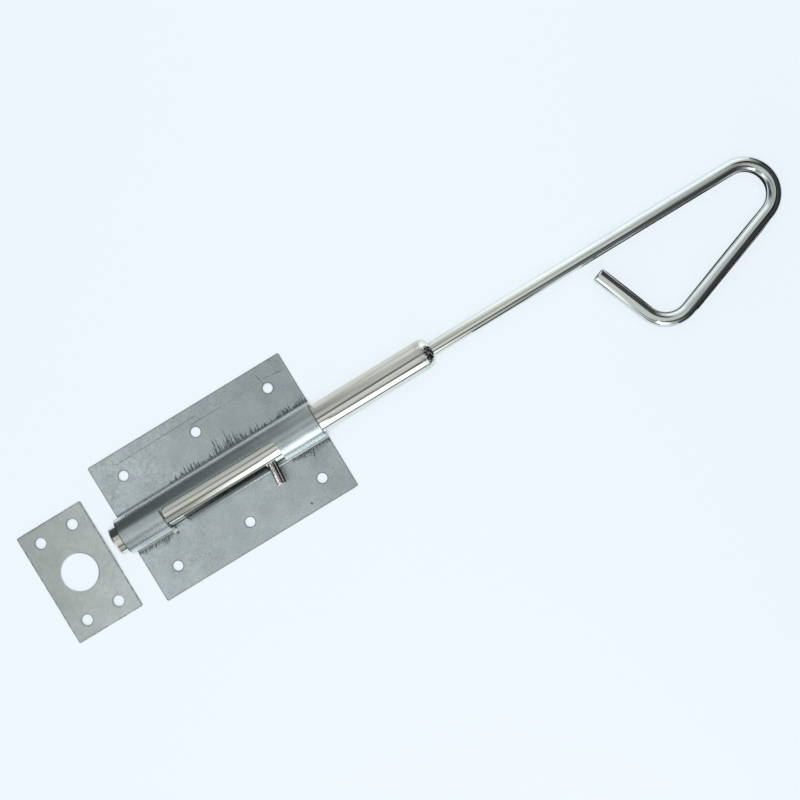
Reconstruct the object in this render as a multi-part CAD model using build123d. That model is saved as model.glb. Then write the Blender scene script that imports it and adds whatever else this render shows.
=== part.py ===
from build123d import *
from math import cos, radians, sin, tan
import os

# Drop bolt for a garage door or gate, with its keeper plate. All sizes are in millimetres.
# The mounting plate's rear face lies on Z = 0 with its centre at the origin. +X runs along the bolt
# towards the handle, +Y towards the flange above the window, and +Z away from the door.

# Mounting plate, folded from one sheet
PLATE_LENGTH = 115.0
PLATE_WIDTH = 80.0
PLATE_SHEET = 1.5
PLATE_CORNER = 0.8
TUNNEL_BEND = 1.0
SCREW_HOLE = 5.3
SCREW_HOLES_PER_FLANGE = 3
SCREW_ROWS = 2
SCREW_END_MARGIN = 14.0
SCREW_SIDE_MARGIN = 12.85

# Window in the tunnel, with a notch for the stop pin at each end and a lip between them
WINDOW_LENGTH = 67.4
WINDOW_PAST_TOP = 2.3
WINDOW_CORNER = 3.0
LOWER_NOTCH_PLAY = 2.8
UPPER_NOTCH_PLAY = 5.5
NOTCH_CORNER = 1.0
NOTCH_ABOVE_BEND = 0.5

# Bolt bar, loose in the tunnel
BAR_DIAMETER = 16.0
BAR_LENGTH = 182.9
BAR_SHOWING = 4.9
BAR_CHAMFER = 1.0
BAR_PLAY = 0.5

# Stop pin, seated in a cross hole in the bar
PIN_DIAMETER = 5.0
PIN_OUT_OF_BAR = 11.0
PIN_SEAT = 7.0
PIN_CHAMFER = 0.4
PIN_LEAN_ANGLE = 5.5
PIN_FIT = 0.02
PIN_PLAY = 0.3
PIN_OVER_LIP = 0.4

# Handle rod, seated in a socket in the bar's upper end and bent into an open triangle
ROD_DIAMETER = 8.0
ROD_SEAT = 12.0
ROD_FIT = 0.05
ROD_STRAIGHT = 182.5
ROD_CHAMFER = 0.6
HANDLE_BEND = 15.0
HANDLE_TIP_ANGLE = 160.6
HANDLE_RETURN_LEG = 63.4
HANDLE_CORNER_ANGLE = 88.6
HANDLE_MOUTH = 6.0

# Weld ring between the rod and the bar's upper end
WELD_LENGTH = 5.1
WELD_BULGE = 1.1
WELD_STEPS = 5
WELD_PLAY = 0.05

# Keeper plate, lying flat below the bolt
KEEPER_LENGTH = 63.0
KEEPER_WIDTH = 38.0
KEEPER_SHEET = 2.0
KEEPER_CORNER = 0.8
KEEPER_BAR_PLAY = 1.85
KEEPER_HOLE = 5.8
KEEPER_HOLES_PER_ROW = 2
KEEPER_END_MARGIN = 8.45
KEEPER_SIDE_MARGIN = 9.5
KEEPER_APART = 12.0
KEEPER_OFF_AXIS = 3.6
KEEPER_UNDER_BAR = 0.5

# The bar rides clear of the keeper, which lies in its path
BAR_RADIUS = BAR_DIAMETER / 2
AXIS_HEIGHT = KEEPER_SHEET + KEEPER_UNDER_BAR + BAR_RADIUS
TUNNEL_INSIDE = BAR_RADIUS + BAR_PLAY
TUNNEL_OUTSIDE = TUNNEL_INSIDE + PLATE_SHEET
TUNNEL_TOP = AXIS_HEIGHT + TUNNEL_OUTSIDE

# The level pin passes over the lip, and turned down it drops behind either of the lip's ends
PIN_RADIUS = PIN_DIAMETER / 2
LIP_TOP = AXIS_HEIGHT - PIN_RADIUS - PIN_OVER_LIP
NOTCH_FLOOR = PLATE_SHEET + TUNNEL_BEND + NOTCH_ABOVE_BEND
LIP_LOWER_END = -WINDOW_LENGTH / 2 + PIN_DIAMETER + LOWER_NOTCH_PLAY
LIP_UPPER_END = WINDOW_LENGTH / 2 - PIN_DIAMETER - UPPER_NOTCH_PLAY

# The pin leans towards the bar's lower end and stands just clear of the lip's upper end
PIN_ANGLE = radians(PIN_LEAN_ANGLE)
PIN_X = LIP_UPPER_END + (PIN_RADIUS + PIN_PLAY) / cos(PIN_ANGLE) + TUNNEL_OUTSIDE * tan(PIN_ANGLE)
PIN_START = BAR_RADIUS - PIN_SEAT
PIN_LENGTH = PIN_SEAT + PIN_OUT_OF_BAR

# Ends of the bar and places along the bolt's axis
BAR_LOWER_END = -PLATE_LENGTH / 2 - BAR_SHOWING
BAR_UPPER_END = BAR_LOWER_END + BAR_LENGTH
ROD_RADIUS = ROD_DIAMETER / 2

BOLT_AXIS = Axis((0, 0, AXIS_HEIGHT), (1, 0, 0))
HANDLE_PLANE = Plane(origin=(0, 0, AXIS_HEIGHT))
BOLT_SIDE_PLANE = Plane(origin=(0, 0, AXIS_HEIGHT), x_dir=(1, 0, 0), z_dir=(0, -1, 0))


def across_bolt(x):
    """Plane square to the bolt's axis at x, facing the handle."""
    return Plane(origin=(x, 0, AXIS_HEIGHT), z_dir=(1, 0, 0))


def pin_seat():
    """Plane at the pin's inner end, facing out along the leaning pin."""
    along = (-sin(PIN_ANGLE), -cos(PIN_ANGLE), 0)
    return Plane(origin=(PIN_X, 0, AXIS_HEIGHT), z_dir=along).offset(PIN_START)


def tunnel_outline(half_width):
    """Round-topped outline of the tunnel, standing on the rear face and centred on the bar."""
    walls = Pos(0, AXIS_HEIGHT / 2) * Rectangle(2 * half_width, AXIS_HEIGHT)
    crown = Pos(0, AXIS_HEIGHT) * Circle(half_width)
    return walls + crown


def corners(sketch, points):
    """The sketch's corners nearest to the given points."""
    return [sketch.vertices().sort_by_distance(point)[0] for point in points]


def folded_section():
    """Section of the folded sheet: two flanges and the tunnel, with bends of even thickness."""
    flanges = Pos(0, PLATE_SHEET / 2) * Rectangle(PLATE_WIDTH, PLATE_SHEET)
    section = flanges + tunnel_outline(TUNNEL_OUTSIDE) - tunnel_outline(TUNNEL_INSIDE)
    front = [(side * TUNNEL_OUTSIDE, PLATE_SHEET) for side in (-1, 1)]
    section = fillet(corners(section, front), TUNNEL_BEND)
    rear = [(side * TUNNEL_INSIDE, 0) for side in (-1, 1)]
    return fillet(corners(section, rear), TUNNEL_BEND + PLATE_SHEET)


def window_cut():
    """Tool for the window: its outline from the front, kept to its outline from the side."""
    reach = WINDOW_PAST_TOP + TUNNEL_OUTSIDE + TUNNEL_BEND
    front = Pos(0, WINDOW_PAST_TOP - reach / 2) * Rectangle(WINDOW_LENGTH, reach)
    top_corners = [(side * WINDOW_LENGTH / 2, WINDOW_PAST_TOP) for side in (-1, 1)]
    front = fillet(corners(front, top_corners), WINDOW_CORNER)

    height = TUNNEL_TOP - NOTCH_FLOOR
    side = Pos(0, NOTCH_FLOOR + height / 2) * Rectangle(WINDOW_LENGTH, height)
    lip_middle = (LIP_LOWER_END + LIP_UPPER_END) / 2
    lip_height = LIP_TOP - NOTCH_FLOOR
    lip = Rectangle(LIP_UPPER_END - LIP_LOWER_END, lip_height)
    side -= Pos(lip_middle, NOTCH_FLOOR + lip_height / 2) * lip
    ends = (-WINDOW_LENGTH / 2, LIP_LOWER_END, LIP_UPPER_END, WINDOW_LENGTH / 2)
    notch_corners = [(x, NOTCH_FLOOR) for x in ends]
    lip_corners = [(x, LIP_TOP) for x in (LIP_LOWER_END, LIP_UPPER_END)]
    side = fillet(corners(side, notch_corners + lip_corners), NOTCH_CORNER)

    from_front = extrude(front, TUNNEL_TOP)
    from_side = extrude(Plane.XZ * side, PLATE_WIDTH, both=True)
    return from_front & from_side


def screw_holes(pitch, row_spacing, per_row, diameter, depth):
    """Rows of round screw holes about the origin, as one cutting tool standing on Z = 0."""
    places = GridLocations(pitch, row_spacing, per_row, SCREW_ROWS)
    return extrude(Sketch() + [place * Circle(diameter / 2) for place in places], depth)


def mounting_plate():
    """Folded sheet with flanges, tunnel, window and screw holes."""
    folded = extrude(Plane.YZ * folded_section(), PLATE_LENGTH / 2, both=True)
    outline = extrude(RectangleRounded(PLATE_LENGTH, PLATE_WIDTH, PLATE_CORNER), TUNNEL_TOP)
    pitch = (PLATE_LENGTH - 2 * SCREW_END_MARGIN) / (SCREW_HOLES_PER_FLANGE - 1)
    row_spacing = PLATE_WIDTH - 2 * SCREW_SIDE_MARGIN
    holes = screw_holes(pitch, row_spacing, SCREW_HOLES_PER_FLANGE, SCREW_HOLE, PLATE_SHEET)
    return (folded & outline) - window_cut() - holes


def keeper_plate():
    """Flat plate with a large hole for the bar and a screw hole near each corner."""
    plate = extrude(RectangleRounded(KEEPER_WIDTH, KEEPER_LENGTH, KEEPER_CORNER), KEEPER_SHEET)
    bar_hole = extrude(Circle(BAR_RADIUS + KEEPER_BAR_PLAY), KEEPER_SHEET)
    pitch = KEEPER_WIDTH - 2 * KEEPER_SIDE_MARGIN
    row_spacing = KEEPER_LENGTH - 2 * KEEPER_END_MARGIN
    holes = screw_holes(pitch, row_spacing, KEEPER_HOLES_PER_ROW, KEEPER_HOLE, KEEPER_SHEET)
    x = -PLATE_LENGTH / 2 - KEEPER_APART - KEEPER_WIDTH / 2
    return Pos(x, -KEEPER_OFF_AXIS, 0) * (plate - bar_hole - holes)


def bolt_bar():
    """Round bar, chamfered at its lower end, with a socket for the rod and a cross hole for the pin."""
    bar = extrude(across_bolt(BAR_LOWER_END) * Circle(BAR_RADIUS), BAR_LENGTH)
    bar = chamfer(bar.faces().sort_by(Axis.X)[0].edges(), BAR_CHAMFER)
    socket = extrude(across_bolt(BAR_UPPER_END) * Circle(ROD_RADIUS + ROD_FIT), -ROD_SEAT)
    cross_hole = extrude(pin_seat() * Circle(PIN_RADIUS + PIN_FIT), PIN_LENGTH)
    return bar - socket - cross_hole


def stop_pin():
    """Short pin that stands out of the bar through the window, chamfered at its free end."""
    pin = extrude(pin_seat() * Circle(PIN_RADIUS), PIN_LENGTH)
    return chamfer(pin.faces().sort_by(Axis.Y)[0].edges(), PIN_CHAMFER)


def handle_path():
    """Line of the rod from its seat in the bar, round the handle to its free end."""
    shank = Line((BAR_UPPER_END - ROD_SEAT, 0), (BAR_UPPER_END + ROD_STRAIGHT, 0))
    tip = JernArc(shank @ 1, shank % 1, HANDLE_BEND, -HANDLE_TIP_ANGLE)
    return_leg = Line(tip @ 1, tip @ 1 + HANDLE_RETURN_LEG * (tip % 1))
    corner = JernArc(return_leg @ 1, return_leg % 1, HANDLE_BEND, -HANDLE_CORNER_ANGLE)
    way = corner % 1
    free_end_y = -ROD_RADIUS - HANDLE_MOUTH - ROD_RADIUS * abs(way.X)
    free_leg = Line(corner @ 1, corner @ 1 + way * ((free_end_y - (corner @ 1).Y) / way.Y))
    return HANDLE_PLANE * (shank + tip + return_leg + corner + free_leg)


def handle_rod():
    """Round rod swept round the handle, chamfered at its free end."""
    path = handle_path()
    rod = sweep(across_bolt(BAR_UPPER_END - ROD_SEAT) * Circle(ROD_RADIUS), path)
    free_end = rod.faces().filter_by(GeomType.PLANE).sort_by(Axis.Y)[0]
    return chamfer(free_end.edges(), ROD_CHAMFER)


def handle_weld():
    """Ring of weld that falls from the bar's edge to the rod, rounded in short straight steps."""
    inside = ROD_RADIUS + WELD_PLAY
    foot = BAR_UPPER_END + WELD_PLAY
    start = (foot, inside)
    toe = (foot + WELD_LENGTH, inside)
    outer = (foot, BAR_RADIUS)
    crest = SagittaArc(toe, outer, -WELD_BULGE)
    steps = [crest @ (step / WELD_STEPS) for step in range(WELD_STEPS + 1)]
    section = make_face(Polyline(start, *steps, close=True))
    return revolve(BOLT_SIDE_PLANE * section, BOLT_AXIS)


PIECES = {
    "mounting_plate": mounting_plate,
    "bolt_bar": bolt_bar,
    "stop_pin": stop_pin,
    "handle_rod": handle_rod,
    "handle_weld": handle_weld,
    "keeper_plate": keeper_plate,
}

os.makedirs("parts", exist_ok=True)
for name, make in PIECES.items():
    export_step(make(), f"parts/{name}.step")
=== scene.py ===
import math

import bmesh
import bpy
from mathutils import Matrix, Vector, noise


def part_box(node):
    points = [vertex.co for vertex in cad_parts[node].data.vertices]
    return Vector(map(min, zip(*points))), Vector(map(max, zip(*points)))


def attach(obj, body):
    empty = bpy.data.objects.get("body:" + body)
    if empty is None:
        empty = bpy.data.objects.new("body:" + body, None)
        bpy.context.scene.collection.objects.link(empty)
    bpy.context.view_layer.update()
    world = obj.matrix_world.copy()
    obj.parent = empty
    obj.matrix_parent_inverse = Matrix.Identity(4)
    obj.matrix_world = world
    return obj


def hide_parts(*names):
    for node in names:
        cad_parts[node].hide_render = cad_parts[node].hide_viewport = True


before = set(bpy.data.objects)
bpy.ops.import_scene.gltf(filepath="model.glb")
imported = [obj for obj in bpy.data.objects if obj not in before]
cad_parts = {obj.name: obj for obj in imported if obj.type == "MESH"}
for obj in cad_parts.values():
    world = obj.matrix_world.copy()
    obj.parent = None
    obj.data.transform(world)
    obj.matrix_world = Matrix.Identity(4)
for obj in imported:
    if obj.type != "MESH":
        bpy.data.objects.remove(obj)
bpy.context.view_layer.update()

# Drop bolt with its keeper plate, lying on a pale floor and seen from straight above.
# Lengths are in metres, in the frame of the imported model: +X along the bolt towards the handle,
# +Y towards the flange above the window, +Z up. Every piece sits at the origin, unturned.

MM = 0.001

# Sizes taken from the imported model
plate_low, plate_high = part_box("mounting_plate")
bar_low, bar_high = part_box("bolt_bar")
rod_low, rod_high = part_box("handle_rod")
pin_low, pin_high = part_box("stop_pin")
weld_low, weld_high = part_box("handle_weld")
keeper_low, keeper_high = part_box("keeper_plate")
AXIS_HEIGHT = (bar_low.z + bar_high.z) / 2
BAR_RADIUS = (bar_high.z - bar_low.z) / 2
ROD_RADIUS = (rod_high.z - rod_low.z) / 2

# Mounting plate: the bend at the tunnel's foot, the lip's ends, the window's lower end and the screw holes
CREASE = 11.0 * MM
FLANGE_BELOW, TUNNEL_ABOVE = 3 * MM, 5 * MM
LIP_ENDS = (-25.9 * MM, 23.2 * MM)
WINDOW_END = -33.7 * MM
HOLE_X = 43.5 * MM
HOLE_Y = 27.15 * MM
HOLE_RADIUS = 2.65 * MM
PLATE_EASE = 0.15 * MM

# Keeper plate: its bore, and its screw holes from its middle
KEEPER_BORE = 9.85 * MM
KEEPER_HOLE_X = 9.5 * MM
KEEPER_HOLE_Y = 23.05 * MM
KEEPER_HOLE_RADIUS = 2.9 * MM
KEEPER_EASE = 0.2 * MM

# Bolt bar, and the stop pin that leans a little towards the bar's lower end
BAR_EASE = 1.2 * MM
PIN_RADIUS = 2.5 * MM
PIN_LEAN = math.radians(5.5)
PIN_EASE = 0.5 * MM
PIN_MIDDLE = pin_low.x + PIN_RADIUS * math.cos(PIN_LEAN) - pin_low.y * math.tan(PIN_LEAN)

# Handle rod, bent in the level plane through the bolt's axis
HANDLE_BEND = 15.0 * MM
TIP_TURN = math.radians(160.6)
RETURN_LEG = 63.4 * MM
CORNER_TURN = math.radians(88.6)
HANDLE_MOUTH = 6.0 * MM
ROD_CHAMFER = 0.6 * MM

# Rough tack on the weld: its middle and half width as turns from the top towards -Y, and its lumps
TACK_MIDDLE = 0.2
TACK_HALF = 0.66
TACK_LUMP = 1.1 * MM
TACK_RISE = 0.35 * MM
TACK_ROUGH = 0.45 * MM
TACK_DRIFT = 0.3 * MM

# How many steps the round pieces are made in
BAR_STEPS, BAR_RINGS = 144, 40
PIN_STEPS = 96
ROD_STEPS, TIP_STEPS, CORNER_STEPS = 48, 40, 24
WELD_STEPS, WELD_RINGS = 120, 20
EASE_STEPS = 8

# How tall the scuffs beside the tunnel are along each bend, as (place along X, height), how much they
# slant, how far they smear, and the widths of their teeth
UPPER_SCUFFS = [
    (-0.0270, 0.0), (-0.0230, 0.0032), (-0.0130, 0.0048), (-0.0080, 0.0060), (-0.0030, 0.0050),
    (0.0030, 0.0050), (0.0050, 0.0095), (0.0080, 0.0070), (0.0120, 0.0100), (0.0160, 0.0085),
    (0.0200, 0.0050), (0.0280, 0.0042), (0.0340, 0.0016), (0.0390, 0.0020), (0.0430, 0.0085),
    (0.0460, 0.0060), (0.0490, 0.0025), (0.0520, 0.0085), (0.0560, 0.0055),
]
UPPER_SLANT, UPPER_SMEAR = 0.08, 0.5
LOWER_SCUFFS = [
    (-0.0580, 0.0012), (-0.0550, 0.0028), (-0.0480, 0.0042), (-0.0420, 0.0060), (-0.0390, 0.0040),
    (-0.0360, 0.0), (0.0330, 0.0), (0.0370, 0.0030), (0.0420, 0.0055), (0.0470, 0.0065),
    (0.0520, 0.0045), (0.0560, 0.0030),
]
LOWER_SLANT, LOWER_SMEAR = -0.35, 0.9
WIDE_TOOTH, THIN_TOOTH = 1.9 * MM, 1.3 * MM

# How pale each flange is, as (place along X, share of the pale grey), a painted light and shade along the
# flanges
UPPER_PALE = [(-0.057, 0.8), (-0.036, 0.7), (0.0, 0.25), (0.03, 0.19), (0.057, 0.22)]
LOWER_PALE = [(-0.057, 0.5), (-0.029, 0.52), (0.0, 0.82), (0.026, 0.79), (0.047, 0.36), (0.057, 0.36)]

# Scribed lines along the upper flange and one across it, as (start, end, place, slope, darkness)
SCRIBED_LINES = [
    (-40 * MM, 3 * MM, 33.6 * MM, 0.014, 0.6),
    (0.0, 16 * MM, 31.3 * MM, -0.01, 0.55),
    (18 * MM, 40 * MM, 31.2 * MM, 0.01, 0.2),
    (45 * MM, 55 * MM, 32.2 * MM, -0.13, 0.6),
]
CROSS_LINE = (31.0 * MM, 34.5 * MM, 42.3 * MM, -0.24, 0.8)

# Dark dents in the lower flange, as (place, radius, soft edge, darkness), and a painted highlight on a burr
DENTS = [
    ((32.1 * MM, -35.5 * MM), 0.35 * MM, 0.5 * MM, 0.9),
    ((-34.6 * MM, -12.4 * MM), 0.5 * MM, 0.6 * MM, 0.8),
]
BURR_HIGHLIGHT = ((-35.4 * MM, -11.3 * MM), 0.5 * MM, 0.4 * MM)

# Colours of the sheets: dark cloud, light cloud and fleck, and then their marks, painted shades and painted
# lights
# The crown's set is painted shade: the same sheet's grey, darker on the tunnel's crown
SHADED_CROWN_SHADES = ((0.55, 0.63, 0.665, 1), (0.64, 0.73, 0.76, 1), (0.22, 0.24, 0.25, 1))
FLANGE_SHADES = ((0.72, 0.83, 0.86, 1), (0.84, 0.96, 0.99, 1), (0.26, 0.29, 0.30, 1))
KEEPER_SHADES = ((0.64, 0.715, 0.72, 1), (0.73, 0.81, 0.815, 1), (0.30, 0.33, 0.33, 1))
NICK_COLOUR = (0.22, 0.25, 0.26, 1)
SCUFF_COLOUR = (0.07, 0.09, 0.10, 1)
LINE_AND_SHADE_COLOUR = (0.13, 0.15, 0.16, 1)
BURR_HIGHLIGHT_COLOUR = (0.97, 0.98, 0.99, 1)
RIM_SHADE_COLOUR = (0.06, 0.07, 0.07, 1)
LIP_SHADE_COLOUR = (0.14, 0.15, 0.16, 1)
FOOT_SHADE_COLOUR = (0.20, 0.22, 0.23, 1)
SIDE_LIGHT_COLOUR = (0.805, 0.84, 0.84, 1)
KEEPER_RIM_SHADE_COLOUR = (0.12, 0.13, 0.13, 1)

# Colours of the bolt: dark and light of each metal, and then its marks, painted shades and painted highlights
ZINC_SHADES = ((0.735, 0.775, 0.725, 1), (0.81, 0.85, 0.80, 1))
ZINC_STREAK_COLOUR = (0.30, 0.31, 0.29, 1)
SPECKLED_SHADE_COLOUR = (0.30, 0.32, 0.32, 1)
SAWN_SHADES = ((0.50, 0.53, 0.52, 1), (0.66, 0.69, 0.67, 1))
HEATED_COLOUR = (0.35, 0.36, 0.34, 1)
ROD_TINT = (0.89, 0.935, 1.0, 1)
PIN_SHADES = ((0.42, 0.40, 0.41, 1), (0.74, 0.72, 0.73, 1))
PIN_STREAK_COLOUR = (0.18, 0.17, 0.17, 1)
PIN_DARK_LINE_AND_SHADE_COLOUR = (0.02, 0.02, 0.02, 1)
PIN_HIGHLIGHT_COLOUR = (0.95, 0.95, 0.96, 1)
WELD_SHADES = ((0.68, 0.71, 0.67, 1), (0.82, 0.85, 0.81, 1))
TACK_COLOUR = (0.015, 0.016, 0.016, 1)
TACK_GLINT_COLOUR = (0.95, 0.96, 0.94, 1)

# Camera, fitted to the photo
CAMERA_PLACE = (0.09861, -0.01359, 0.7215)
CAMERA_ROLL = math.radians(-31.33)
CAMERA_LENS = 62.86

# Floor and lamp. Near the object the floor glows a little less, so that it keeps the shadow
BACKDROP = (0.863, 0.930, 0.991, 1.0)
FLOOR_REACH = 5.0
FLOOR_NEAR, FLOOR_FADE = 0.24, 0.14
FLOOR_GLOW = 0.85
HOLLOW_REACH = 0.03
LAMP_PLACE = (0.05, 0.05, 0.70)
LAMP_SIZE = 0.9
LAMP_POWER = 4.2

# Room of glowing cards. The lists give a glow, or a height, as (place along the wall, value).
# SOUTH_ABOVE_GAP goes by the height above the gap instead
NEUTRAL = (1.0, 1.0, 0.97, 1.0)
ROOM_WEST, ROOM_EAST = -0.50, 0.85
ROOM_SOUTH, ROOM_NORTH = -0.40, 0.40
ROOM_HEIGHT = 0.75
SOUTH_BOX = [
    (-0.50, 0.75), (-0.25, 0.55), (-0.142, 0.42), (-0.094, 0.46), (-0.06, 1.0), (-0.03, 2.0),
    (0.0, 2.4), (0.03, 2.3), (0.05, 1.85), (0.10, 1.7), (0.14, 1.2), (0.177, 0.62),
    (0.275, 0.2), (0.39, 0.06), (0.85, 0.04),
]
SOUTH_BOX_TOP = [
    (-0.50, 0.35), (-0.035, 0.35), (-0.015, 0.54), (0.029, 0.54), (0.034, 0.355), (0.18, 0.36), (0.85, 0.40),
]
SOUTH_GAP = [
    (-0.50, 0.03), (-0.035, 0.03), (-0.015, 0.10), (0.029, 0.10), (0.034, 0.035), (0.10, 0.045),
    (0.18, 0.22), (0.27, 0.32), (0.39, 0.38), (0.85, 0.40),
]
SOUTH_ABOVE_GAP = [(0.0, 0.10), (0.08, 0.36), (0.14, 0.48), (0.26, 0.64), (0.39, 0.70)]
NORTH_LOW = [
    (-0.50, 0.06), (-0.145, 0.07), (-0.065, 0.15), (0.01, 0.28), (0.085, 0.68), (0.17, 1.1),
    (0.262, 1.4), (0.60, 1.35), (0.85, 0.7),
]
NORTH_MIDDLE = [
    (-0.50, 0.06), (-0.145, 0.07), (-0.065, 0.14), (0.01, 0.26), (0.085, 0.52), (0.17, 0.54),
    (0.262, 0.95), (0.60, 0.9), (0.85, 0.6),
]
NORTH_TOP = 0.52
EAST_WALL = [(-0.40, 0.05), (0.20, 0.06), (0.40, 0.5)]
WEST_WALL = [(-0.40, 1.35), (-0.22, 1.3), (-0.12, 0.9), (0.10, 0.15), (0.40, 0.09)]
CEILING_FALL = [(-0.40, 0.70), (-0.02, 0.72), (0.03, 0.56), (0.40, 0.52)]
BOOM_MIDDLE = (0.082, 0.062)
BOOM_SLOPE = 0.894
BOOM_BEND = -0.085

# Flags close to the object, seen from above, and the heights of those that stand
FLAG_LIFT = 0.3 * MM
NORTH_FLAG = [(-0.30, 0.047), (0.058, 0.047)]
NORTH_FLAG_HEIGHT = 0.022
NORTH_FLAG_GLOW = [(-0.30, 0.05), (-0.145, 0.05), (-0.06, 0.09), (0.02, 0.16), (0.05, 0.3), (0.06, 0.55)]
SOUTH_FLAG = [(-0.15, -0.10), (0.20, -0.10)]
SOUTH_FLAG_HEIGHTS = (0.003, 0.0195)
LIP_FLAG = [(LIP_ENDS[0], -10 * MM), (LIP_ENDS[1], -10 * MM)]
LIP_FLAG_HEIGHTS = (7.7 * MM, 15.6 * MM)
BAR_FLAG_ENDS = (0.0578, 0.128)
BAR_FLAG_FOOT, BAR_FLAG_HEAD = 0.0105, 0.05
BAR_FLAG_HEIGHT = 0.024
ROD_LIGHT = [(0.13, 0.010), (0.33, 0.010), (0.33, 0.15), (0.13, 0.15)]
HANDLE_FLAG = [(0.240, -0.090), (0.335, -0.055), (0.360, -0.010), (0.350, 0.030)]
HANDLE_FLAG_HEIGHT = 0.020
SHANK_SHADE = [(0.212, -0.0075), (0.325, -0.0075), (0.288, -0.036), (0.230, -0.046)]
HANDLE_SHADE = [(0.252, -0.046), (0.300, -0.034), (0.320, -0.050), (0.265, -0.080)]
SHANK_FLAG = [(0.150, -0.034), (0.205, -0.034)]
SHANK_FLAG_HEIGHT = 0.012


# Node trees

def add(tree, kind, inputs=None, **settings):
    """Adds a node. inputs maps a socket to its value, or to the output that it is joined to."""
    made = tree.nodes.new(kind)
    for name, value in settings.items():
        setattr(made, name, value)
    for key, value in (inputs or {}).items():
        if isinstance(value, bpy.types.NodeSocket):
            tree.links.new(value, made.inputs[key])
        else:
            made.inputs[key].default_value = value
    return made


def calc(tree, operation, a, b=0.0, clamp=False):
    """Result of a sum on two numbers."""
    return add(tree, "ShaderNodeMath", {0: a, 1: b}, operation=operation, use_clamp=clamp).outputs[0]


def minus(tree, a, b):
    """a less b."""
    return calc(tree, "SUBTRACT", a, b)


def chain(tree, operation, values):
    """One sum taken along several values."""
    result = values[0]
    for value in values[1:]:
        result = calc(tree, operation, result, value)
    return result


def product(tree, *values):
    """All the values multiplied together."""
    return chain(tree, "MULTIPLY", values)


def highest(tree, *values):
    """The greatest of the values."""
    return chain(tree, "MAXIMUM", values)


def lerp(tree, share, a, b):
    """Number between a and b."""
    return add(tree, "ShaderNodeMix", {0: share, 2: a, 3: b}).outputs[0]


def remap(tree, value, low, high, to_low=0.0, to_high=1.0):
    """Smooth step of a value from one range to another, held at both ends. low may be above high."""
    if low > high:
        low, high, to_low, to_high = high, low, to_high, to_low
    inputs = {0: value, 1: low, 2: high, 3: to_low, 4: to_high}
    return add(tree, "ShaderNodeMapRange", inputs, interpolation_type="SMOOTHSTEP").outputs[0]


def band(tree, value, start, full, fade, end):
    """1 between full and fade, and 0 outside start and end."""
    return product(tree, remap(tree, value, start, full), remap(tree, value, end, fade))


def ramp(tree, value, stops):
    """Grey that follows a value through stops of (value, grey)."""
    low, high = stops[0][0], stops[-1][0]
    share = add(tree, "ShaderNodeMapRange", {0: value, 1: low, 2: high}).outputs[0]
    made = add(tree, "ShaderNodeValToRGB", {0: share})
    points = made.color_ramp.elements
    while len(points) < len(stops):
        points.new(0.5)
    for point, (place, grey) in zip(points, stops):
        point.position = (place - low) / (high - low)
        point.color = (grey, grey, grey, 1.0)
    return made.outputs[0]


def blend(tree, share, a, b, kind="MIX"):
    """Mix of two colours."""
    inputs = {0: share, 6: a, 7: b}
    return add(tree, "ShaderNodeMix", inputs, data_type="RGBA", blend_type=kind).outputs[2]


def shaded(tree, colour, shade):
    """Colour made darker or lighter by a number."""
    return blend(tree, 1.0, colour, vector(tree, shade, shade, shade), "MULTIPLY")


def mottle(tree, place, scale, detail=3.0, roughness=0.55):
    """Noise between 0 and 1. scale is in marks per metre."""
    inputs = {"Vector": place, "Scale": scale, "Detail": detail, "Roughness": roughness}
    return add(tree, "ShaderNodeTexNoise", inputs).outputs["Fac"]


def strokes(tree, along, scale, detail=1.0):
    """Noise along one line."""
    inputs = {"W": along, "Scale": scale, "Detail": detail}
    return add(tree, "ShaderNodeTexNoise", inputs, noise_dimensions="1D").outputs["Fac"]


def place_of(tree):
    """The point's place in the object's own frame, whole and as its X, Y and Z."""
    whole = add(tree, "ShaderNodeTexCoord").outputs["Object"]
    parts = add(tree, "ShaderNodeSeparateXYZ", {0: whole})
    return whole, parts.outputs[0], parts.outputs[1], parts.outputs[2]


def noted(tree, name):
    """Number that the piece's mesh carries under a name."""
    return add(tree, "ShaderNodeAttribute", attribute_name=name).outputs["Fac"]


def vector(tree, x, y, z):
    """Vector from three numbers."""
    return add(tree, "ShaderNodeCombineXYZ", {0: x, 1: y, 2: z}).outputs[0]


def new_material(name):
    """Empty material and its node tree."""
    made = bpy.data.materials.new(name)
    made.use_nodes = True
    made.node_tree.nodes.clear()
    return made, made.node_tree


def finish_metal(tree, colour, roughness, height, depth, metallic=1.0):
    """Metal surface with small bumps of the given depth."""
    bump = add(tree, "ShaderNodeBump", {"Strength": 1.0, "Distance": depth, "Height": height})
    inputs = {"Base Color": colour, "Metallic": metallic, "Roughness": roughness, "Normal": bump.outputs[0]}
    metal = add(tree, "ShaderNodeBsdfPrincipled", inputs)
    add(tree, "ShaderNodeOutputMaterial", {0: metal.outputs[0]})


# Marks on the sheets

def sheet_grain(tree, place):
    """Clouds, patchy mottling, fine speckle and dark flecks of a galvanised sheet."""
    cloud = mottle(tree, place, 70, 4.0)
    patch = remap(tree, mottle(tree, place, 60, 2.0), 0.35, 0.65, 0.35, 1.0)
    marks = product(tree, remap(tree, mottle(tree, place, 420, 4.0, 0.65), 0.35, 0.65, -1.0, 1.0), patch)
    speckle = mottle(tree, place, 1800, 3.0, 0.65)
    flecks = product(tree, remap(tree, mottle(tree, place, 800, 3.0), 0.63, 0.70), patch)
    return cloud, marks, speckle, flecks


def sheet_colour(tree, grain, shades, contrast=1.0):
    """Colour of a sheet from its grain."""
    cloud, marks, speckle, flecks = grain
    dark, light, fleck = shades
    colour = blend(tree, remap(tree, cloud, 0.3, 0.7), dark, light)
    shade = calc(tree, "ADD", product(tree, marks, 0.06), remap(tree, speckle, 0.35, 0.65, -0.04, 0.03))
    colour = shaded(tree, colour, calc(tree, "ADD", 1.0, product(tree, shade, contrast)))
    return blend(tree, product(tree, flecks, 0.30, contrast), colour, fleck)


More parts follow.
